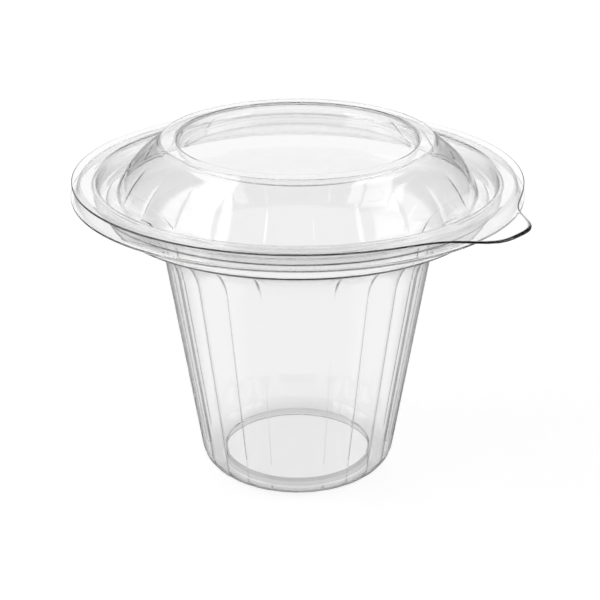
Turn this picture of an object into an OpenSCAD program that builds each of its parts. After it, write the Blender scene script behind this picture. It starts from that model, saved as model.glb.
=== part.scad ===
// Clear dessert cup with a domed lid, both thermoformed from thin clear sheet.
// A sheet is drawn as the path of its underside, from the axis outwards as [radius, height],
// and its thickness lies on the left of that path.

/* [Sheet] */
// Thickness of the cup's sheet
cup_t = 0.45; // [0.35:0.05:0.6]
// Thickness of the lid's sheet
lid_t = 0.4; // [0.3:0.05:0.5]
// Radius inside each tight fold of the sheets
fold = 0.3; // [0.2:0.05:0.4]

/* [Cup] */
// Height of the cup from the table to the top of its rim
cup_h = 77.7; // [74:0.1:90]
// Lean of the cup's wall away from upright, in degrees
wall_lean = 8.75; // [7:0.05:10]
// Radius of the bend between the wall and the foot
foot_bend = 5; // [4:0.1:6]
// Height of the raised floor over the table
floor_rise = 2.3; // [1.8:0.1:3.5]
// Radius of the flare between the wall and the neck
flare_bend = 11; // [8:0.5:13]
// Slope that the flare ends with, in degrees above level
flare_rise = 24; // [15:1:32]
// Length of the straight run from the flare to the neck
flare_run = 7.85; // [5:0.05:9]
// Height of the upright neck, from the flare to the shelf
neck_h = 4.4; // [3:0.1:7]

/* [Cup rim] */
// Depth of the shelf under the top of the rim
shelf_drop = 3.9; // [3.5:0.1:6]
// Width of the shelf, from the neck to the rim's opening
shelf_w = 2.5; // [2:0.1:3]
// Radius of the rim's opening, where the lid plugs in
plug_r = 49.4; // [42:0.1:60]
// How much the rim's opening widens towards its top
plug_draft = 0.35; // [0.2:0.05:0.6]
// Width of the ridge at the top of the rim
ridge_w = 3.7; // [3.2:0.1:4]
// How far the skirt spreads on its way down from the ridge
skirt_spread = 1; // [0.6:0.1:1.2]
// Height of the skirt that hangs from the ridge
skirt_h = 2.95; // [2.2:0.05:3.4]
// Width of the lip at the foot of the skirt
lip_w = 1.25; // [0.9:0.05:2]

/* [Flutes] */
// Number of flutes in a full turn
flutes = 24; // [16:2:28]
// Depth of the creases between the cup's flutes
cup_crease = 0.42; // [0.2:0.02:0.6]
// Depth of the creases between the dome's flutes
dome_crease = 0.55; // [0.2:0.02:0.7]
// Turn of the dome's creases from those of the cup, in degrees
dome_turn = 5; // [0:0.5:15]

/* [Lid] */
// How far the edge of the lid's flange lies inside that of the cup's lip
flange_inset = 0.35; // [0:0.05:0.6]
// Height of the crest over the top of the flange
crest_rise = 9.2; // [8:0.1:14]
// Depth of the recess under the crest
recess_depth = 3.1; // [2:0.1:4]
// Width of the flat crest round the recess
crest_w = 4.2; // [3.5:0.1:5]
// Height of the crest's shoulder over the dome
shoulder_h = 1.5; // [1.2:0.1:2]
// Width of the dome, from the crest to its foot
dome_w = 10.5; // [9:0.1:13]
// Width of the channel between the dome and the lid's plug wall
channel_w = 5.2; // [4:0.1:6.5]
// Height of the dome's knee under the crest
knee_drop = 6.4; // [5:0.1:7]
// How far the dome's knee lies inside its foot
knee_in = 1.9; // [1:0.1:3]

/* [Tab] */
// Direction of the pull tab round the lid, in degrees from +X
tab_turn = -42; // [-80:1:80]
// Reach of the tab past the flange
tab_reach = 10.1; // [6:0.1:14]
// Half the angle that the tab spans at half its reach, in degrees
tab_half = 10.3; // [8:0.1:11]

/* [Fit] */
// Gap between the lid's plug wall and the rim's opening
plug_gap = 0.3; // [0.2:0.05:0.6]
// Gap between the lid and what it rests on
rest_gap = 0.15; // [0.1:0.05:0.3]

/* [Hidden] */
$fn = 144;
CLEAR_CUP = [0.93, 0.94, 0.95, 0.35];
CLEAR_LID = [0.96, 0.97, 0.98, 0.35];

// Radii of the rim, worked both ways from its opening.
neck_r = plug_r - shelf_w;
plug_out = plug_r + cup_t;
ridge_out = plug_out + ridge_w - cup_t;
lip_r = ridge_out + skirt_spread + lip_w;

// Heights of the cup, worked down from its rim.
shelf_z = cup_h - shelf_drop;
shelf_under_z = shelf_z - cup_t;
neck_z = shelf_under_z - neck_h;
lip_z = cup_h - skirt_h - cup_t;

// A straight run goes down from the neck, and the flare turns it smoothly into the wall.
run_way = [cos(flare_rise), sin(flare_rise)];
neck_foot = [neck_r, neck_z];
flare_end = neck_foot - flare_run * run_way;
flare_mid = flare_end + flare_bend * [sin(flare_rise), -cos(flare_rise)];
flare_start = flare_mid + flare_bend * [-cos(wall_lean), sin(wall_lean)];

// Radius that the wall would have at the table. The foot bend touches the table and the wall.
lean = tan(wall_lean);
wall_r = flare_start[0] - lean * flare_start[1];
foot_r = wall_r + lean * foot_bend - foot_bend / cos(wall_lean);
foot_flat = 0.35;
foot_step = 0.85;
floor_step = 1.1;

// Heights of the lid, worked up from the rim it rests on.
flange_z = cup_h + rest_gap;
channel_z = shelf_z + rest_gap;
crest_z = flange_z + lid_t + crest_rise;
crest_under_z = crest_z - lid_t;
flange_r = lip_r - flange_inset;
lid_plug_r = plug_r - plug_gap;
dome_r = lid_plug_r - channel_w;
crest_r = dome_r - dome_w;
recess_r = crest_r - crest_w;
plug_bend = 0.9;
crest_bend = 0.8;
dome_top = [crest_r + 0.57, crest_under_z - shoulder_h];
dome_knee = [dome_r - knee_in, crest_z - knee_drop];
dome_foot = [dome_r, channel_z + 0.35];
// Width of the channel's floor that belongs to the fluted zone.
channel_edge = 1.2;
// How far the tab's sheet reaches back into the flange that it is part of.
tab_root = 2;
// The tab's faces lie this far inside those of the flange.
tab_skin = 0.02;

// The crest's shoulder falls to the dome, and the fluted zone starts part of the way down.
shoulder_way = unit(dome_top - [crest_r, crest_under_z]);
shoulder_end = dome_top - 0.5 * shoulder_way;

// Columns of points across one flute, as shares of its width from its middle.
SHARES = [-0.5, -0.3, 0, 0.3];
COLUMNS = flutes * len(SHARES);
// The higher the power, the narrower the crease and the flatter the panel.
CREASE_POWER = 5;
// A fluted zone stops this far from the plain sheet beside it, and a thin tail joins them.
JOIN = 0.12;
TAIL = 0.25;

// Vectors in the plane of radius and height.
function unit(v) = v / norm(v);
function left(v) = [-v[1], v[0]];
function turned_by(v, a) = [v[0] * cos(a) - v[1] * sin(a), v[0] * sin(a) + v[1] * cos(a)];
function flat(p) = [p[0], p[1]];

// The way that a path runs into its point i, and out of it.
function way_in(p, i) = unit(p[max(i, 1)] - p[max(i, 1) - 1]);
function way_out(p, i) = unit(p[min(i + 1, len(p) - 1)] - p[min(i, len(p) - 2)]);
// Sideways step at point i that lies one unit off both of its lines.
function mitre(p, i) =
    let (a = left(way_in(p, i)), n = unit(a + left(way_out(p, i)))) n / (n * a);
function beside(p, t) = [for (i = [0 : len(p) - 1]) p[i] + t * mitre(p, i)];

// A corner b of a sheet, rounded so that its inner side has the fold's radius or its own.
function rounded_corner(a, b, c, t) =
    let (
        u = unit(flat(b) - flat(a)),
        v = unit(flat(c) - flat(b)),
        turn = atan2(u[0] * v[1] - u[1] * v[0], u * v),
        inner = len(b) > 2 ? b[2] : fold,
        r = turn > 0 ? inner + t : inner,
        spoke = -sign(turn) * r * left(u),
        middle = flat(b) - r * tan(abs(turn) / 2) * u - spoke,
        steps = ceil(abs(turn) / 16)
    )
    [for (k = [0 : steps]) middle + turned_by(spoke, turn * k / steps)];
// A path of sharp corners, made into the path of a folded sheet.
function folded(p, t) = [
    flat(p[0]),
    for (i = [1 : len(p) - 2]) each rounded_corner(p[i - 1], p[i], p[i + 1], t),
    flat(p[len(p) - 1])
];
function arc(centre, r, from, to, n) =
    [for (i = [0 : n]) let (a = from + (to - from) * i / n) centre + r * [cos(a), sin(a)]];
function curve(a, b, c, s) = (1 - s) * (1 - s) * a + 2 * s * (1 - s) * b + s * s * c;

// A plain round sheet.
module turned_sheet(corners, t) {
    under = folded(corners, t);
    over = beside(under, t);
    rotate_extrude()
        polygon(concat(under, [for (i = [len(over) - 1 : -1 : 0]) [max(over[i][0], 0), over[i][1]]]));
}

// Depth of crease k at a share of a flute, with none at a crease that is left out.
function crease(k, share, plain) =
    len([for (p = plain) if (p == k % flutes) 1]) > 0 ? 0 : pow(abs(2 * share), CREASE_POWER);

// A fluted round sheet through rings of [radius, height, crease depth, thickness].
// Each crease sinks along the vector sink, or square to the sheet where sink is zero.
module fluted_sheet(rings, sink, turn, plain) {
    path = [for (r = rings) flat(r)];
    last = len(rings) - 1;
    steps = [for (i = [0 : last]) rings[i][2] * (norm(sink) > 0 ? sink : unit(mitre(path, i)))];
    // The section goes out along the underside and comes back along the other side.
    section = [
        for (i = [0 : last]) [path[i], steps[i]],
        for (i = [last : -1 : 0]) [path[i] + rings[i][3] * mitre(path, i), steps[i]]
    ];
    points = [for (s = section) for (k = [0 : flutes - 1]) for (share = SHARES)
        let (
            p = s[0] + crease(share < 0 ? k : k + 1, share, plain) * s[1],
            a = turn + 360 * (k + 0.5 + share) / flutes
        )
        [p[0] * cos(a), p[0] * sin(a), p[1]]];
    count = len(section);
    faces = [for (i = [0 : count - 1]) for (j = [0 : COLUMNS - 1])
        let (a = i * COLUMNS, b = (i + 1) % count * COLUMNS, n = (j + 1) % COLUMNS)
        each [[a + j, b + j, b + n], [a + j, b + n, a + n]]];
    polyhedron(points, faces);
}
// The ring where a tail ends, in the middle of the sheet that it runs into.
function tail(from, way, ahead, t) =
    let (p = from + ahead * TAIL * way + left(way) * t / 3) [p[0], p[1], 0, t / 3];

// Cup: raised floor, upright step and the flat ring that stands on the table.
module cup_base() {
    turned_sheet([
        [0, floor_rise],
        [foot_r - floor_step, floor_rise],
        [foot_r - foot_step, 0],
        [foot_r + foot_flat, 0]
    ], cup_t);
}

// Cup: fluted wall, from the foot bend up the cone and out along the flare.
module cup_wall() {
    foot_arc = [for (a = [-84, -68, -50, -30, -wall_lean])
        [foot_r + foot_bend * cos(a), foot_bend + foot_bend * sin(a), 1 + a / 90]];
    middle_z = (foot_bend + flare_mid[1]) / 2;
    flare_arc = arc(flare_mid, flare_bend, 180 - wall_lean, 90 + flare_rise, 5);
    run_end = neck_foot - (4 * TAIL + JOIN) * run_way;
    run_middle = (flare_end + run_end) / 2;
    rings = [
        tail([foot_r + foot_flat, 0], [1, 0], -1, cup_t),
        for (p = foot_arc) [p[0], p[1], p[2] * cup_crease, cup_t],
        [wall_r + lean * middle_z, middle_z, cup_crease, cup_t],
        for (p = flare_arc) [p[0], p[1], cup_crease, cup_t],
        [run_middle[0], run_middle[1], cup_crease * 0.9, cup_t],
        [run_end[0], run_end[1], 0, cup_t],
        tail(run_end, run_way, 1, cup_t)
    ];
    // The panels at the front and the back are two flutes wide.
    fluted_sheet(rings, [0, 0], -90, [0, flutes / 2]);
}

// Cup: neck, shelf, opening for the lid, ridge, skirt and lip.
module cup_rim() {
    ridge_z = cup_h - cup_t;
    turned_sheet([
        neck_foot - 4 * TAIL * run_way,
        neck_foot,
        [neck_r, shelf_under_z],
        [plug_out, shelf_under_z],
        [plug_out + plug_draft, ridge_z],
        [ridge_out, ridge_z],
        [ridge_out + skirt_spread, lip_z],
        [lip_r, lip_z]
    ], cup_t);
}

module cup() {
    color(CLEAR_CUP)
    union() {
        cup_base();
        cup_wall();
        cup_rim();
    }
}

// Lid: recess, its upright wall, the flat crest and the top of its shoulder.
module lid_crest() {
    recess_under_z = crest_under_z - recess_depth;
    turned_sheet([
        [0, recess_under_z],
        [recess_r + lid_t, recess_under_z],
        [recess_r + lid_t + 0.1, crest_under_z],
        [crest_r, crest_under_z, crest_bend],
        shoulder_end
    ], lid_t);
}

// Lid: fluted dome, from the shoulder out and down, with the inner edge of the channel.
module lid_dome() {
    steps = 8;
    dome = [for (i = [0 : steps]) curve(dome_top, dome_knee, dome_foot, i / steps)];
    start = shoulder_end + JOIN * shoulder_way;
    end = [dome_r + channel_edge - JOIN, channel_z];
    rings = [
        tail(start, shoulder_way, -1, lid_t),
        [start[0], start[1], 0, lid_t],
        for (i = [0 : steps]) [dome[i][0], dome[i][1], dome_crease * min(1, i / 4), lid_t],
        [dome_r + 0.12, channel_z, dome_crease, lid_t],
        [end[0], end[1], 0, lid_t],
        tail(end, [1, 0], 1, lid_t)
    ];
    fluted_sheet(rings, [-1, 0], dome_turn - 90, []);
}

// Lid: channel round the dome, plug wall and flat flange.
module lid_rim() {
    turned_sheet([
        [dome_r + channel_edge, channel_z],
        [lid_plug_r, channel_z],
        [lid_plug_r + plug_draft / 2, flange_z, plug_bend],
        [flange_r, flange_z]
    ], lid_t);
}

// Lid: pull tab, a bell-shaped outline that swells out of the flange.
module lid_tab() {
    span = 30;
    sink = 0.6;
    bell = [for (a = [-span : span])
        (flange_r - sink + (tab_reach + sink) / (1 + pow(a / tab_half, 4))) * [cos(a), sin(a)]];
    root = [for (a = [span : -2 : -span]) (flange_r - tab_root) * [cos(a), sin(a)]];
    rotate(tab_turn)
    translate([0, 0, flange_z + tab_skin])
    linear_extrude(lid_t - 2 * tab_skin)
        polygon(concat(bell, root));
}

module lid() {
    color(CLEAR_LID)
    union() {
        lid_crest();
        lid_dome();
        lid_rim();
        lid_tab();
    }
}

cup();
lid();
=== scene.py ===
"""Looks of a clear dessert cup with a plug-in domed lid.

Both pieces are thermoformed from thin clear sheet. Each is built here as a closed, finely meshed
shell: the path of its underside is folded from a few sizes, thickened, and turned about the axis
with the creases of its flutes pressed in. Lengths are in millimetres until a mesh is made.
"""

from __future__ import annotations

import logging
import math
from dataclasses import dataclass
from enum import Enum

import bmesh
import bpy
import numpy as np
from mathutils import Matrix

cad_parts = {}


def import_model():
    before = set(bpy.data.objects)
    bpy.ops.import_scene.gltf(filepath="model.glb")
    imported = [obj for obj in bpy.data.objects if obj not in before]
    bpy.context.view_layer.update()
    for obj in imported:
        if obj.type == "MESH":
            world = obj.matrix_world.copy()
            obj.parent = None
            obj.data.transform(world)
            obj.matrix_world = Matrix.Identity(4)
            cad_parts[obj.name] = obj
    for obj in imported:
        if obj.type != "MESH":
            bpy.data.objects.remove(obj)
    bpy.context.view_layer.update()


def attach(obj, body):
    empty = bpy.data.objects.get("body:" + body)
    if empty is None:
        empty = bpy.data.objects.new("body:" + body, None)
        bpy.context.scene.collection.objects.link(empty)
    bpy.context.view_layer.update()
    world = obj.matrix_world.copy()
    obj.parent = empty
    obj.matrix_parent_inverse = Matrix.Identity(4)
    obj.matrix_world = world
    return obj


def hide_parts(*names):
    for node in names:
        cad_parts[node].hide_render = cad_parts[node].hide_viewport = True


MM = 0.001
# Points that are closer than this, in millimetres, become one point.
MEETING = 0.002
# A path that turns less than this at a corner, in radians, has no fold there.
STRAIGHT = 1e-4
# Names of the values that a mesh holds for the painted shade in its colour: along folds, bands and cut
# edges, in the creases' grooves, and round the foot's outline.
FOLD_SHADE_MARK = "line"
GROOVE_SHADE_MARK = "groove"
RIM_SHADE_MARK = "rim"

LOG = logging.getLogger("dessert_cup")


class Socket:
    """An output socket that takes part in Python expressions, each of which adds a Math node."""

    def __init__(self, graph: Graph, source: bpy.types.NodeSocket) -> None:
        """Wraps one output socket of a graph.

        Args:
            graph: The graph that the socket belongs to.
            source: The output socket itself.
        """
        self.graph = graph
        self.source = source

    def _math(self, operation: str, *values: Socket | float) -> Socket:
        """Adds one Math node for an operation on the given values."""
        return self.graph.node("ShaderNodeMath", {"operation": operation}, dict(enumerate(values)))

    def __add__(self, other: Socket | float) -> Socket:
        """Adds."""
        return self._math("ADD", self, other)

    __radd__ = __add__

    def __mul__(self, other: Socket | float) -> Socket:
        """Multiplies."""
        return self._math("MULTIPLY", self, other)

    __rmul__ = __mul__

    def __sub__(self, other: Socket | float) -> Socket:
        """Subtracts."""
        return self._math("SUBTRACT", self, other)

    def __rsub__(self, other: Socket | float) -> Socket:
        """Subtracts this socket from a number."""
        return self._math("SUBTRACT", other, self)

    def __truediv__(self, other: Socket | float) -> Socket:
        """Divides."""
        return self._math("DIVIDE", self, other)

    def __rtruediv__(self, other: Socket | float) -> Socket:
        """Divides a number by this socket."""
        return self._math("DIVIDE", other, self)

    def __pow__(self, power: Socket | float) -> Socket:
        """Raises to a power."""
        return self._math("POWER", self, power)

    def __neg__(self) -> Socket:
        """Changes the sign."""
        return self._math("MULTIPLY", self, -1.0)

    def __abs__(self) -> Socket:
        """The size without its sign."""
        return self._math("ABSOLUTE", self)

    def larger(self, other: Socket | float) -> Socket:
        """The larger of the two values."""
        return self._math("MAXIMUM", self, other)

    def angle_over(self, other: Socket | float) -> Socket:
        """The angle in radians whose tangent is this value over the other."""
        return self._math("ARCTAN2", self, other)

    def rise(self, start: float, full: float) -> Socket:
        """Climbs softly from zero at the first value to one at the second, or falls if they swap."""
        low, high = (0.0, 1.0) if start < full else (1.0, 0.0)
        ends = {"From Min": min(start, full), "From Max": max(start, full), "To Min": low, "To Max": high}
        return self.graph.node(
            "ShaderNodeMapRange", {"interpolation_type": "SMOOTHSTEP"}, {"Value": self, **ends}
        )


class Graph:
    """A node tree that is built by calls."""

    def __init__(self, tree: bpy.types.NodeTree) -> None:
        """Empties a node tree and keeps it.

        Args:
            tree: The node tree of a material or a world.
        """
        tree.nodes.clear()
        self.tree = tree

    def node(
        self,
        kind: str,
        settings: dict[str, object] | None = None,
        inputs: dict[str | int, object] | None = None,
        output: str | int = 0,
    ) -> Socket:
        """Adds a node, sets it up and links it.

        Args:
            kind: The node's type name.
            settings: Properties that are set before any socket.
            inputs: Values or sockets for the node's inputs, by name or number.
            output: The output that is given back.

        Returns:
            The chosen output, ready for expressions.
        """
        node = self.tree.nodes.new(kind)
        for name, value in (settings or {}).items():
            setattr(node, name, value)
        for name, value in (inputs or {}).items():
            if isinstance(value, Socket):
                self.tree.links.new(value.source, node.inputs[name])
            else:
                node.inputs[name].default_value = value
        return Socket(self, node.outputs[output] if len(node.outputs) else None)

    def parts(self, vector: Socket) -> tuple[Socket, Socket, Socket]:
        """The three parts of a vector."""
        return tuple(
            self.node("ShaderNodeSeparateXYZ", inputs={0: vector}, output=axis) for axis in "XYZ"
        )

    def mix_colour(self, share: Socket | float, first: object, second: object) -> Socket:
        """Blends two colours.

        Args:
            share: How much of the second colour there is.
            first: The first colour, as a socket or as red, green and blue.
            second: The second colour, given in the same way.

        Returns:
            The blended colour.
        """
        first, second = (c if isinstance(c, Socket) else (*c, 1.0) for c in (first, second))
        settings = {"data_type": "RGBA", "clamp_factor": True}
        return self.node("ShaderNodeMix", settings, {0: share, 6: first, 7: second}, output=2)

    def mark(self, name: str) -> Socket:
        """The value that a mesh holds under a name."""
        return self.node("ShaderNodeAttribute", {"attribute_name": name}, output="Fac")

    def light_path(self, *rays: str) -> Socket:
        """One where the ray is of any of the named kinds, and zero elsewhere."""
        total = self.node("ShaderNodeLightPath", output=rays[0])
        for ray in rays[1:]:
            total = total.larger(self.node("ShaderNodeLightPath", output=ray))
        return total


@dataclass(frozen=True)
class ClearSheet:
    """Finish of a clear thermoformed sheet, with painted shade darkening its colour along folds, cut edges
    and creases and where it is seen edge-on.

    Args:
        name: The material's name.
        tint: What one pass through the sheet leaves of the light.
        painted_shade_tint: The colour of the darkest painted shade, along cut edges, folds and creases, as
            what it leaves of the light.
        edge_on_shade_tint: Painted shade where the sheet is seen edge-on, as what the sheet leaves of the
            light there.
        ior: How strongly the sheet bends light, which is little because it is so thin.
        coat_ior: How strongly its faces mirror.
        coat_roughness: Roughness of those mirroring faces.
        gloss_roughness: Roughness of the drawn surface.
        haze: How much the roughness rises in the cloudy patches.
        wave_depth: Depth of the faint waves that forming leaves, in millimetres.
        wave_scale: How many of those waves fit in a metre.
        cloud_scale: How many cloudy patches fit in a metre.
        edge_on_shade_slant: Slant at which that painted edge-on shade starts and at which it is full.
        crease_shade_slant: The same for the painted shade along the creases.
        rim_shade_slant: The same for the painted shade round the rounded foot.
    """

    name: str
    tint: tuple[float, float, float] = (0.94, 0.94, 0.94)
    painted_shade_tint: tuple[float, float, float] = (0.05, 0.05, 0.052)
    edge_on_shade_tint: tuple[float, float, float] = (0.86, 0.86, 0.86)
    ior: float = 1.12
    coat_ior: float = 1.5
    coat_roughness: float = 0.01
    gloss_roughness: float = 0.01
    haze: float = 0.015
    wave_depth: float = 0.001
    wave_scale: float = 60.0
    cloud_scale: float = 24.0
    edge_on_shade_slant: tuple[float, float] = (0.6, 0.95)
    crease_shade_slant: tuple[float, float] = (0.25, 0.52)
    rim_shade_slant: tuple[float, float] = (0.38, 0.68)

    def material(self) -> bpy.types.Material:
        """Builds the material of this finish."""
        material = bpy.data.materials.new(self.name)
        material.use_nodes = True
        graph = Graph(material.node_tree)
        place = graph.node("ShaderNodeTexCoord", output="Object")
        cloud = graph.node(
            "ShaderNodeTexNoise", inputs={"Vector": place, "Scale": self.cloud_scale, "Detail": 3.0}
        )
        wave = graph.node(
            "ShaderNodeTexNoise", inputs={"Vector": place, "Scale": self.wave_scale, "Detail": 1.0}
        )
        bump = graph.node(
            "ShaderNodeBump",
            inputs={"Height": wave, "Distance": self.wave_depth * MM, "Strength": 1.0},
        )
        # Painted shade: the colour darkens along folds, bands and cut edges, and in the creases' grooves
        # and round the foot's outline where the sheet is seen at a slant. It is painted only where a face
        # is seen from the front.
        line = graph.mark(FOLD_SHADE_MARK)
        slant = graph.node("ShaderNodeLayerWeight", inputs={"Blend": 0.5}, output="Facing")
        inside = graph.node("ShaderNodeNewGeometry", output="Backfacing")
        line = line.larger(graph.mark(GROOVE_SHADE_MARK) * slant.rise(*self.crease_shade_slant))
        line = line.larger(graph.mark(RIM_SHADE_MARK) * slant.rise(*self.rim_shade_slant))
        # Painted shade where the sheet is seen edge-on.
        colour = graph.mix_colour(slant.rise(*self.edge_on_shade_slant), self.tint, self.edge_on_shade_tint)
        colour = graph.mix_colour(line * (1 - inside), colour, self.painted_shade_tint)
        sheet = graph.node(
            "ShaderNodeBsdfPrincipled",
            inputs={
                "Base Color": colour,
                "Roughness": self.gloss_roughness + cloud * self.haze,
                "IOR": self.ior,
                "Transmission Weight": 1.0,
                "Coat Weight": 1.0,
                "Coat IOR": self.coat_ior,
                "Coat Roughness": self.coat_roughness,
                "Normal": bump,
            },
        )
        graph.node("ShaderNodeOutputMaterial", inputs={"Surface": sheet})
        return material


# The sheets' materials, with painted shade in their colour; the lid's painted edge-on shade is darker.
CUP_SHEET_AND_SHADE = ClearSheet("clear_cup")
LID_SHEET_AND_SHADE = ClearSheet("clear_lid", tint=(0.985, 0.985, 0.985), edge_on_shade_tint=(0.6, 0.6, 0.6))


@dataclass(frozen=True)
class PaintedShade:
    """Painted shade along a fold or a band, from either side, from zero to one: darker colour that stands
    in for the light that a fold or a cut edge bends away.

    Args:
        under: Painted shade seen from the underside.
        over: Painted shade seen from the upper side.
        rim: Painted shade of the underside only where it is seen along its face, as at an outline.
    """

    under: float = 0.0
    over: float = 0.0
    rim: float = 0.0

    def values(self) -> np.ndarray:
        """The three values side by side."""
        return np.array([self.under, self.over, self.rim])


CLEAR = PaintedShade()


@dataclass(frozen=True)
class Corner:
    """A corner of a sheet's underside before it is folded.

    Args:
        r: Radius from the axis.
        z: Height over the table.
        bend: Radius inside the fold, or None for the sheet's usual tight fold.
        crease: Share of the full crease depth that the flutes have here.
        crease_start: Share of it at the fold's inner end, if it differs.
        line: Painted shade along the fold.
        line_end: Painted shade at the fold's outer end, if it differs.
        band: Painted shade along the flat stretch that follows.
    """

    r: float
    z: float
    bend: float | None = None
    crease: float = 0.0
    crease_start: float | None = None
    line: PaintedShade = CLEAR
    line_end: PaintedShade | None = None
    band: PaintedShade = CLEAR

    def at(self) -> np.ndarray:
        """The corner as a point."""
        return np.array([self.r, self.z])


class Sink(Enum):
    """The way that creases are pressed into a sheet."""

    SQUARE = "square to the sheet"
    INWARD = "straight towards the axis"


def unit(vector: np.ndarray) -> np.ndarray:
    """A vector of the same direction and length one."""
    return vector / np.linalg.norm(vector)


def left(vector: np.ndarray) -> np.ndarray:
    """The vector turned a quarter turn to its left."""
    return np.array([-vector[1], vector[0]])


@dataclass
class SheetPath:
    """The underside of a round sheet, folded from its corners.

    Args:
        corners: The corners, from the axis outwards.
        thickness: Thickness of the sheet, which lies on the path's left.
        fold: Radius inside a tight fold.
        arc_step: Largest turn between two points of a fold, in degrees.
        support: How far from a fold the nearest point of a flat stretch lies.
        stretch: Largest distance between two points of a flat stretch.
    """

    corners: list[Corner]
    thickness: float
    fold: float = 0.3
    arc_step: float = 12.0
    support: float = 0.12
    stretch: float = 6.0

    def _folded(self, i: int) -> list[np.ndarray]:
        """The points of the fold at corner i, or the corner itself where it has no bend."""
        before, here, after = (c.at() for c in self.corners[i - 1 : i + 2])
        u = unit(here - before)
        v = unit(after - here)
        turn = math.atan2(u[0] * v[1] - u[1] * v[0], float(u @ v))
        bend = self.corners[i].bend
        inner = self.fold if bend is None else bend
        if inner == 0 or abs(turn) < STRAIGHT:
            return [here]
        radius = inner + self.thickness if turn > 0 else inner
        spoke = -math.copysign(radius, turn) * left(u)
        middle = here - radius * math.tan(abs(turn) / 2) * u - spoke
        steps = max(2, math.ceil(math.degrees(abs(turn)) / self.arc_step))
        points = []
        for k in range(steps + 1):
            angle = turn * k / steps
            spin = np.array([[math.cos(angle), -math.sin(angle)], [math.sin(angle), math.cos(angle)]])
            points.append(middle + spin @ spoke)
        return points

    def _flat(self, start: np.ndarray, end: np.ndarray) -> list[np.ndarray]:
        """Points inside a flat stretch, with one close to each end."""
        length = float(np.linalg.norm(end - start))
        if length < 3 * self.support:
            return []
        way = (end - start) / length
        count = max(1, math.ceil((length - 2 * self.support) / self.stretch))
        span = length - 2 * self.support
        return [start + way * (self.support + span * k / count) for k in range(count + 1)]

    def points(self) -> tuple[np.ndarray, np.ndarray, np.ndarray]:
        """Folds the path.

        Returns:
            The points of the underside, the crease share at each, and the painted shade of its folds and
            bands at each.
        """
        folds = [[self.corners[0].at()]]
        folds += [self._folded(i) for i in range(1, len(self.corners) - 1)]
        folds.append([self.corners[-1].at()])
        points: list[np.ndarray] = []
        shares: list[float] = []
        lines: list[np.ndarray] = []
        for i, fold in enumerate(folds):
            corner = self.corners[i]
            steps = np.linspace(0, 1, len(fold))
            low = corner.crease if corner.crease_start is None else corner.crease_start
            first = corner.line.values()
            last = first if corner.line_end is None else corner.line_end.values()
            if i:
                flat = self._flat(folds[i - 1][-1], fold[0])
                way = (np.arange(len(flat)) + 1) / (len(flat) + 1)
                shares += list(shares[-1] + (low - shares[-1]) * way)
                lines += [self.corners[i - 1].band.values()] * len(flat)
                points += flat
            points += fold
            shares += list(low + (corner.crease - low) * steps)
            lines += [first + (last - first) * step for step in steps]
        return np.array(points), np.array(shares), np.array(lines)

    @staticmethod
    def mitres(points: np.ndarray) -> np.ndarray:
        """Sideways steps that lie one unit off both lines at each point."""
        ways = np.diff(points, axis=0)
        ways /= np.linalg.norm(ways, axis=1)[:, None]
        sides = np.stack([-ways[:, 1], ways[:, 0]], axis=1)
        before = np.vstack([sides[:1], sides])
        after = np.vstack([sides, sides[-1:]])
        middle = before + after
        middle /= np.linalg.norm(middle, axis=1)[:, None]
        return middle / (middle * before).sum(axis=1)[:, None]


@dataclass(frozen=True)
class Flutes:
    """The creases round a sheet.

    Args:
        count: Number of flutes in a full turn.
        depth: Depth of a crease.
        turn: Direction of the first crease, in degrees from +X.
        plain: Creases that are left out.
        sink: The way that the creases are pressed in.
        groove: Depth of the narrow groove at the bottom of a crease.
        groove_w: Width of each side of that groove.
        groove_power: How the groove's sides curve, where one is a plain V.
        groove_painted_shade: Painted shade in the groove, where the underside is not seen squarely.
        groove_gain: How much sooner along the path the groove's painted shade is full than the groove is
            deep.
        round_power: How the panels round off.
        columns: Points across one flute.
        crowding: How much the points crowd towards the creases.
    """

    count: int
    depth: float
    turn: float
    plain: tuple[int, ...]
    sink: Sink
    groove: float = 0.05
    groove_w: float = 0.5
    groove_power: float = 1.2
    groove_painted_shade: float = 0.0
    groove_gain: float = 1.5
    round_power: float = 2.2
    columns: int = 16
    crowding: float = 2.2

    def turns(self) -> tuple[np.ndarray, np.ndarray, np.ndarray]:
        """Works out the columns of points round the axis.

        Returns:
            The direction of each column in radians, how near it is to its crease, from zero in
            the middle of a flute to one, and one or zero for a crease that is there or left out.
        """
        steps = np.linspace(-1, 1, self.columns + 1)[:-1]
        across = np.sign(steps) * (1 - (1 - np.abs(steps)) ** self.crowding)
        angles = []
        present = []
        for k in range(self.count):
            for share in across:
                crease = (k if share < 0 else k + 1) % self.count
                angles.append(math.radians(self.turn + 360 * (k + 0.5 + share / 2) / self.count))
                present.append(0.0 if crease in self.plain else 1.0)
        return np.array(angles), np.tile(np.abs(across), self.count), np.array(present)

    def pressed(self, radius: np.ndarray) -> tuple[np.ndarray, np.ndarray, np.ndarray]:
        """Works out how deep the creases are at each point of the rings.

        Args:
            radius: Radius of each ring.

        Returns:
            The direction of each column, the depth at each ring and column, and the groove's
            share of its own depth there.
        """
        angles, near, present = self.turns()
        away = (1 - near) * radius[:, None] * math.pi / self.count
        groove = np.clip(1 - away / self.groove_w, 0, 1) ** self.groove_power * present
        depth = self.groove * groove + (self.depth - self.groove) * near**self.round_power * present
        return angles, depth, groove


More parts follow.
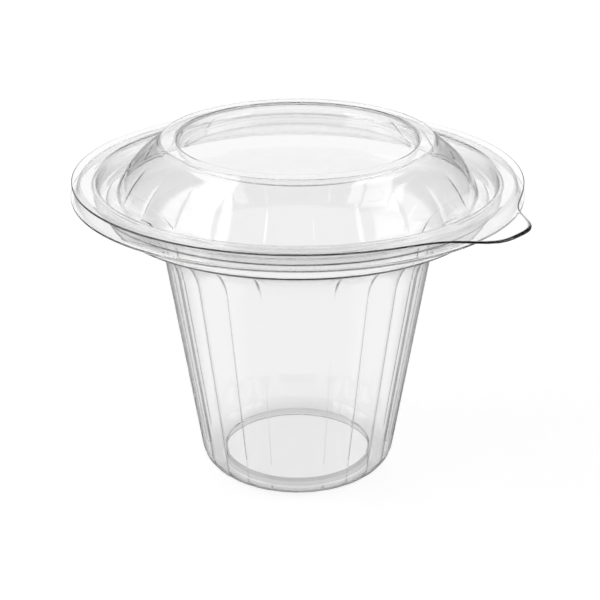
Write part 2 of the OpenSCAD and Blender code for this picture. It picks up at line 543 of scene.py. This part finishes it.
class FormedSheet:
    """A closed shell made by turning a sheet's path, with its creases pressed in."""

    def __init__(self, body: str, slot: str, path: SheetPath, flutes: Flutes) -> None:
        """Keeps what the shell is made from.

        Args:
            body: The body that the sheet moves with, which has the same name as its node.
            slot: The record's material slot, which is also the piece's name.
            path: The path of the sheet's underside.
            flutes: The creases.
        """
        self.body = body
        self.slot = slot
        self.path = path
        self.flutes = flutes

    def swell(self, radius: np.ndarray, angles: np.ndarray) -> np.ndarray:
        """How far points are moved outwards, by radius and direction. A plain sheet has none."""
        return np.zeros((len(radius), len(angles)))

    def build(self) -> bpy.types.Object:
        """Makes the mesh.

        Returns:
            The new object, in the shared frame, in metres.
        """
        under, shares, lines = self.path.points()
        sides = SheetPath.mitres(under)
        over = under + self.path.thickness * sides
        over[0, 0] = under[0, 0]
        press = sides / np.linalg.norm(sides, axis=1)[:, None]
        if self.flutes.sink is Sink.INWARD:
            press = np.tile([-1.0, 0.0], (len(under), 1))
        press = press * shares[:, None]
        section = np.vstack([under, over[::-1]])
        press = np.vstack([press, press[::-1]])
        angles, depths, groove = self.flutes.pressed(section[:, 0])
        radius = section[:, 0, None] + press[:, 0, None] * depths + self.swell(section[:, 0], angles)
        height = section[:, 1, None] + press[:, 1, None] * depths
        points = np.stack([radius * np.cos(angles), radius * np.sin(angles), height], axis=-1)
        rings, columns = radius.shape
        index = np.arange(rings * columns).reshape(rings, columns)
        last = index[:-1]
        following = index[1:]
        faces = np.stack(
            [last, np.roll(last, -1, axis=1), np.roll(following, -1, axis=1), following], axis=-1
        ).reshape(-1, 4)
        mesh = bpy.data.meshes.new(self.slot)
        mesh.from_pydata((points.reshape(-1, 3) * MM).tolist(), [], faces.tolist())
        plain = np.zeros(len(under))
        # The marks hold the painted shade: in the creases' grooves, along folds, bands and cut edges, and
        # round the foot's outline.
        along = self.flutes.groove_painted_shade * np.minimum(self.flutes.groove_gain * shares, 1)
        marks = {
            GROOVE_SHADE_MARK: groove * np.concatenate([along, plain])[:, None],
            FOLD_SHADE_MARK: np.tile(np.concatenate([lines[:, 0], lines[::-1, 1]])[:, None], columns),
            RIM_SHADE_MARK: np.tile(np.concatenate([lines[:, 2], plain])[:, None], columns),
        }
        for name, values in marks.items():
            mesh.attributes.new(name, "FLOAT", "POINT").data.foreach_set("value", values.ravel())
        piece = bpy.data.objects.new(self.slot, mesh)
        bpy.context.scene.collection.objects.link(piece)
        self._close(mesh)
        return piece

    def dress(self, piece: bpy.types.Object, finish: ClearSheet) -> None:
        """Gives a piece its material, with its painted shade, and ties it to the solid that it stands for.

        Args:
            piece: The piece.
            finish: Its material, with painted shade in its colour.
        """
        piece.data.materials.append(finish.material())
        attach(piece, self.body)
        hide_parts(self.body)

    @staticmethod
    def _close(mesh: bpy.types.Mesh) -> None:
        """Joins the points that meet on the axis, turns the faces outwards and shades them smooth."""
        work = bmesh.new()
        work.from_mesh(mesh)
        bmesh.ops.remove_doubles(work, verts=work.verts, dist=MEETING * MM)
        bmesh.ops.recalc_face_normals(work, faces=work.faces)
        for face in work.faces:
            face.smooth = True
        work.to_mesh(mesh)
        work.free()


@dataclass(frozen=True)
class CupForm:
    """Sizes of the cup."""

    # Radii end in r, heights in h, rise or drop, and widths in w. The wall's lean and the rise of
    # the flare are angles in degrees.
    sheet: float = 0.45
    height: float = 77.7
    wall_r: float = 24.5
    wall_lean: float = 8.75
    foot_bend: float = 5.0
    floor_rise: float = 2.3
    floor_step: float = 1.1
    foot_step: float = 0.85
    flare_bend: float = 11.0
    flare_rise: float = 24.0
    neck_r: float = 46.9
    neck_h: float = 4.4
    neck_bend: float = 1.2
    shelf_drop: float = 3.9
    plug_r: float = 49.4
    plug_draft: float = 0.35
    plug_bend: float = 0.05
    ridge_w: float = 3.7
    ridge_bend: float = 0.6
    skirt_spread: float = 1.0
    skirt_h: float = 2.95
    lip_r: float = 55.35
    # The creases: how many there are, how deep, at what height they are full and how far from
    # the neck they fade, and then their shares of that depth at the foot, flare and fade.
    flutes_round: int = 24
    crease: float = 0.3
    crease_full: float = 10.0
    crease_fade: float = 1.2
    foot_share: float = 0.6
    flare_share: float = 0.45
    fade_share: float = 0.2

    def path(self) -> SheetPath:
        """The path of the cup's underside, from the middle of its floor to its lip."""
        lean = math.tan(math.radians(self.wall_lean))
        rise = math.tan(math.radians(self.flare_rise))
        foot_r = self.wall_r + lean * self.foot_bend
        foot_r -= self.foot_bend / math.cos(math.radians(self.wall_lean))
        shelf_z = self.height - self.shelf_drop - self.sheet
        neck_z = shelf_z - self.neck_h
        ridge_z = self.height - self.sheet
        lip_z = ridge_z - self.skirt_h
        # The wall's line and the flare's straight run meet in one wide fold.
        flare_z = (neck_z - rise * (self.neck_r - self.wall_r)) / (1 - rise * lean)
        plug_out = self.plug_r + self.sheet
        ridge_out = plug_out + self.ridge_w - self.sheet
        fade_r = self.neck_r - self.crease_fade
        # The lines and bands at the corners are painted shade: darker colour at the floor's step and along
        # it, at the foot's contact and round its outline, at the plug's corner, at the ridge and at the
        # cut lip.
        return SheetPath(
            [
                Corner(0, self.floor_rise),
                Corner(
                    foot_r - self.floor_step,
                    self.floor_rise,
                    line=PaintedShade(0.35, 0.65),
                    band=PaintedShade(over=0.5),
                ),
                Corner(foot_r - self.foot_step, 0, line=PaintedShade(over=0.1)),
                Corner(
                    self.wall_r,
                    0,
                    self.foot_bend - self.sheet,
                    self.foot_share,
                    crease_start=0.0,
                    line=PaintedShade(0.3, 0.35, 1.0),
                    line_end=PaintedShade(rim=0.7),
                ),
                Corner(self.wall_r + lean * self.crease_full, self.crease_full, 0, 1.0),
                Corner(
                    self.wall_r + lean * flare_z,
                    flare_z,
                    self.flare_bend,
                    self.flare_share,
                    crease_start=1.0,
                ),
                Corner(fade_r, neck_z - rise * self.crease_fade, 0, self.fade_share),
                Corner(self.neck_r, neck_z, self.neck_bend),
                Corner(self.neck_r, shelf_z),
                Corner(plug_out, shelf_z, self.plug_bend, line=PaintedShade(0.55)),
                Corner(plug_out + self.plug_draft, ridge_z),
                Corner(ridge_out, ridge_z, self.ridge_bend, line=PaintedShade(0.3, 0.15)),
                Corner(ridge_out + self.skirt_spread, lip_z),
                Corner(self.lip_r, lip_z, line=PaintedShade(0.5, 0.45)),
            ],
            self.sheet,
        )

    def flutes(self) -> Flutes:
        """The cup's creases, less two, so that the front and the back panel are two flutes wide."""
        return Flutes(
            count=self.flutes_round,
            depth=self.crease,
            turn=-90,
            plain=(0, self.flutes_round // 2),
            sink=Sink.SQUARE,
            # Painted shade along the creases' grooves.
            groove_painted_shade=1.2,
        )


@dataclass(frozen=True)
class LidForm:
    """Sizes of the lid."""

    sheet: float = 0.4
    rest_gap: float = 0.15
    plug_gap: float = 0.3
    plug_bend: float = 0.9
    flange_r: float = 55.0
    # Width of the band of painted shade along the flange's cut edge.
    edge_w: float = 0.3
    crest_rise: float = 9.2
    recess_r: float = 29.2
    recess_depth: float = 3.1
    recess_bend: float = 1.7
    recess_draft: float = 0.1
    crest_w: float = 4.2
    crest_bend: float = 0.9
    shoulder_h: float = 1.5
    shoulder_w: float = 0.57
    shoulder_bend: float = 1.7
    # The dome is one curve from the shoulder to its foot, and bends towards the knee.
    dome_r: float = 43.9
    knee_drop: float = 6.4
    knee_in: float = 1.9
    foot_rise: float = 0.35
    foot_fold: float = 0.1
    foot_draft: float = 0.12
    channel_bend: float = 1.6
    # The creases, and where along the dome they start, are full and start to fade.
    flutes_round: int = 24
    crease: float = 0.4
    dents: tuple[float, float, float] = (0.15, 0.55, 0.8)
    groove: float = 0.2
    groove_w: float = 1.1
    groove_power: float = 2.0
    dome_turn: float = 5.0
    dome_points: int = 16
    # The tab: its direction, its reach, its half width in degrees, the stretch of flange that it
    # grows from, and how square its bell shape is.
    tab_turn: float = -42.0
    tab_reach: float = 10.1
    tab_half: float = 10.3
    tab_root: float = 3.0
    tab_power: int = 4

    def path(self, cup: CupForm) -> SheetPath:
        """The path of the lid's underside, from the middle of its recess to its flange.

        Args:
            cup: The cup that the lid rests on and plugs into.
        """
        flange_z = cup.height + self.rest_gap
        channel_z = cup.height - cup.shelf_drop + self.rest_gap
        crest_z = flange_z + self.crest_rise
        recess_out = self.recess_r + self.sheet
        crest_r = self.recess_r + self.crest_w
        plug_out = cup.plug_r - self.plug_gap
        top = np.array([crest_r + self.shoulder_w, crest_z - self.shoulder_h])
        knee = np.array([self.dome_r - self.knee_in, crest_z + self.sheet - self.knee_drop])
        foot = np.array([self.dome_r, channel_z + self.foot_rise])
        dome = []
        for k in range(2, self.dome_points + 1):
            s = k / self.dome_points
            r, z = (1 - s) ** 2 * top + 2 * s * (1 - s) * knee + s * s * foot
            dome.append(Corner(r, z, 0, self.dent(s)))
        # The lines and bands at the corners are painted shade: darker colour at the recess's rim and along
        # the flange's cut edge.
        return SheetPath(
            [
                Corner(0, crest_z - self.recess_depth),
                Corner(recess_out, crest_z - self.recess_depth, self.recess_bend),
                Corner(recess_out + self.recess_draft, crest_z, line=PaintedShade(over=0.55)),
                Corner(crest_r, crest_z, self.crest_bend),
                Corner(top[0], top[1], self.shoulder_bend),
                *dome,
                Corner(self.dome_r + self.foot_draft, channel_z, self.foot_fold),
                Corner(plug_out, channel_z, self.channel_bend),
                Corner(plug_out + cup.plug_draft / 2, flange_z, self.plug_bend),
                Corner(self.flange_r - self.edge_w, flange_z, 0, band=PaintedShade(0.6, 0.6)),
                Corner(self.flange_r, flange_z, line=PaintedShade(1.0, 1.0)),
            ],
            self.sheet,
        )

    def dent(self, share: float) -> float:
        """How deep the dome's creases are at a share of its path, with soft ends."""
        start, full, end = self.dents
        rise = min(max((share - start) / (full - start), 0.0), 1.0)
        fall = min(max((1.0 - share) / (1.0 - end), 0.0), 1.0)
        return (rise * fall) ** 2 * (3 - 2 * rise * fall)

    def flutes(self) -> Flutes:
        """The creases of the dome."""
        return Flutes(
            count=self.flutes_round,
            depth=self.crease,
            turn=self.dome_turn - 90,
            plain=(),
            sink=Sink.INWARD,
            groove=self.groove,
            groove_w=self.groove_w,
            groove_power=self.groove_power,
        )


class Cup(FormedSheet):
    """The cup."""

    def __init__(self, form: CupForm) -> None:
        """Makes the cup's sheet from its sizes."""
        super().__init__("cup", "cup_sheet", form.path(), form.flutes())


class Lid(FormedSheet):
    """The lid, whose flange swells out into the pull tab."""

    def __init__(self, form: LidForm, cup: CupForm) -> None:
        """Makes the lid's sheet from its sizes and those of the cup."""
        super().__init__("lid", "lid_sheet", form.path(cup), form.flutes())
        self.form = form

    def swell(self, radius: np.ndarray, angles: np.ndarray) -> np.ndarray:
        """Moves the outer part of the flange outwards along the tab's bell shape."""
        off = np.degrees(angles) - self.form.tab_turn
        off = (off + 180) % 360 - 180
        bell = self.form.tab_reach / (1 + (off / self.form.tab_half) ** self.form.tab_power)
        share = np.clip((radius - self.form.flange_r + self.form.tab_root) / self.form.tab_root, 0, 1)
        return share[:, None] * bell


@dataclass(frozen=True)
class Studio:
    """Floor, light and camera.

    Directions round the object are in degrees from the side that the camera stands on.
    """

    # The floor. Its white is what the eye sees, also through the sheet, and its dim and its glow, a
    # painted pool of light from the boxes, are what the sheet's mirroring faces see of it, outside and
    # inside a sector on either side.
    floor_size: float = 8.0
    floor_colour: float = 0.35
    floor_white: float = 0.853
    floor_dim: float = 0.15
    floor_painted_glow: float = 0.75
    glow_low: float = 45.0
    glow_high: float = 92.0
    glow_soft: float = 12.0
    glow_near: float = 0.042
    glow_fade: float = 0.012
    # The light boxes, as they stand on walls one unit to the left and the right of the object.
    # Near and far are along the view, low and top are heights, and all their edges are soft.
    room: float = 0.08
    box_strength: float = 2.08
    box_near: float = -1.0
    box_far: float = 0.15
    box_low: float = 0.3
    box_top: float = 2.9
    box_curve: float = 0.25
    box_soft: float = 0.1
    box_reach: float = 0.02
    side_soft: float = 0.01
    # The right box is weaker, and fades out towards its top.
    right_share: float = 0.75
    right_full: float = 0.7
    right_top: float = 2.2
    # The bright backdrop behind the object, and the white under it for rays through the sheet.
    backdrop: float = 1.04
    backdrop_from: float = 163.0
    backdrop_top: float = 0.7
    backdrop_soft: float = 0.15
    backdrop_edge: float = 7.0
    low_white: float = 0.78
    low_from: float = 0.15
    low_full: float = 0.05
    # The camera, fitted to the photograph.
    camera_place: tuple[float, float, float] = (0.0, -0.33475, 0.1901)
    camera_tilt: float = 66.396
    camera_lens: float = 85.94
    camera_shift: float = 0.004
    camera_near: float = 0.01

    def _round(self, x: Socket, y: Socket) -> Socket:
        """Direction round the object, the same on its left and its right."""
        return abs(x).angle_over(-y) * math.degrees(1)

    def _boxes(self, x: Socket, y: Socket, z: Socket) -> Socket:
        """The tall light boxes on the left and the right, as they lie on walls beside the object."""
        wide = abs(x).larger(self.box_reach)
        high = z / wide
        place = y / wide - self.box_curve * high**2
        soft = self.box_soft
        box = place.rise(self.box_near - soft, self.box_near + soft)
        box = box * place.rise(self.box_far + soft, self.box_far - soft)
        box = box * high.rise(self.box_low - soft, self.box_low + soft)
        box = box * high.rise(self.box_top + 2 * soft, self.box_top - 2 * soft)
        right = x.rise(-self.side_soft, self.side_soft)
        fade = high.rise(self.right_full, self.right_top)
        return box * (1 - right * (1 - self.right_share * (1 - fade)))

    def _painted_light_pool(self, x: Socket, y: Socket) -> Socket:
        """A painted pool of light on the floor on either side of the object, where the boxes would light
        it; the floor gives it off itself.
        """
        angle = self._round(x, y)
        soft = self.glow_soft
        glow = angle.rise(self.glow_low - soft, self.glow_low + soft)
        glow = glow * angle.rise(self.glow_high + soft, self.glow_high - soft)
        away = (x * x + y * y) ** 0.5
        return glow * away.rise(self.glow_near - self.glow_fade, self.glow_near + self.glow_fade)

    def floor(self) -> None:
        """A wide floor that the eye sees as white, also through the clear sheet."""
        mesh = bpy.data.meshes.new("floor")
        half = self.floor_size / 2
        mesh.from_pydata(
            [(-half, -half, 0), (half, -half, 0), (half, half, 0), (-half, half, 0)], [], [(0, 1, 2, 3)]
        )
        floor = bpy.data.objects.new("floor", mesh)
        bpy.context.scene.collection.objects.link(floor)
        material = bpy.data.materials.new("floor_white")
        material.use_nodes = True
        graph = Graph(material.node_tree)
        x, y, _ = graph.parts(graph.node("ShaderNodeTexCoord", output="Object"))
        # Reflections see the floor dim, with the painted pool of light in a sector on either side.
        mirrored = self.floor_dim + (self.floor_painted_glow - self.floor_dim) * self._painted_light_pool(x, y)
        seen = graph.light_path("Is Camera Ray", "Is Transmission Ray")
        level = mirrored + (self.floor_white - mirrored) * seen
        glow = graph.node("ShaderNodeEmission", inputs={"Color": level, "Strength": 1.0})
        paint = graph.node("ShaderNodeBsdfDiffuse", inputs={"Color": (*[self.floor_colour] * 3, 1.0)})
        both = graph.node("ShaderNodeAddShader", inputs={0: glow, 1: paint})
        graph.node("ShaderNodeOutputMaterial", inputs={"Surface": both})
        mesh.materials.append(material)

    def world(self) -> None:
        """White behind the object, with a light box on either side of it and a dim room in front."""
        world = bpy.data.worlds.new("studio")
        bpy.context.scene.world = world
        world.use_nodes = True
        graph = Graph(world.node_tree)
        x, y, z = graph.parts(graph.node("ShaderNodeTexCoord", output="Generated"))
        angle = self._round(x, y)
        back = angle.rise(self.backdrop_from - self.backdrop_edge, self.backdrop_from + self.backdrop_edge)
        back = back * z.rise(
            self.backdrop_top + self.backdrop_soft, self.backdrop_top - self.backdrop_soft
        )
        boxes = self._boxes(x, y, z)
        level = self.room + (self.box_strength - self.room) * boxes
        level = level + (self.backdrop - self.room) * back
        low = self.low_white * graph.light_path("Is Transmission Ray")
        low = low * z.rise(self.low_from, self.low_full)
        white = graph.light_path("Is Camera Ray").larger(low)
        level = level + (1 - level) * white
        studio = graph.node("ShaderNodeBackground", inputs={"Color": level, "Strength": 1.0})
        graph.node("ShaderNodeOutputWorld", inputs={"Surface": studio})

    def camera(self) -> None:
        """The camera at the photograph's view."""
        data = bpy.data.cameras.new("camera")
        data.lens = self.camera_lens
        data.sensor_width = 36.0
        data.shift_x = self.camera_shift
        data.clip_start = self.camera_near
        camera = bpy.data.objects.new("camera", data)
        camera.location = self.camera_place
        camera.rotation_euler = (math.radians(self.camera_tilt), 0, 0)
        bpy.context.scene.collection.objects.link(camera)
        bpy.context.scene.camera = camera


def main() -> None:
    """Builds the pieces and the studio, and logs how many faces each piece has."""
    logging.basicConfig(level=logging.INFO, format="%(name)s: %(message)s")
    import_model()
    form = CupForm()
    for sheet, finish in ((Cup(form), CUP_SHEET_AND_SHADE), (Lid(LidForm(), form), LID_SHEET_AND_SHADE)):
        piece = sheet.build()
        sheet.dress(piece, finish)
        LOG.info("%s: %d faces", sheet.body, len(piece.data.polygons))
    studio = Studio()
    studio.floor()
    studio.world()
    studio.camera()
    scene = bpy.context.scene
    scene.view_settings.view_transform = "Standard"
    scene.cycles.max_bounces = 32
    scene.cycles.transmission_bounces = 32
    scene.cycles.glossy_bounces = 16


if __name__ == "__main__":
    main()
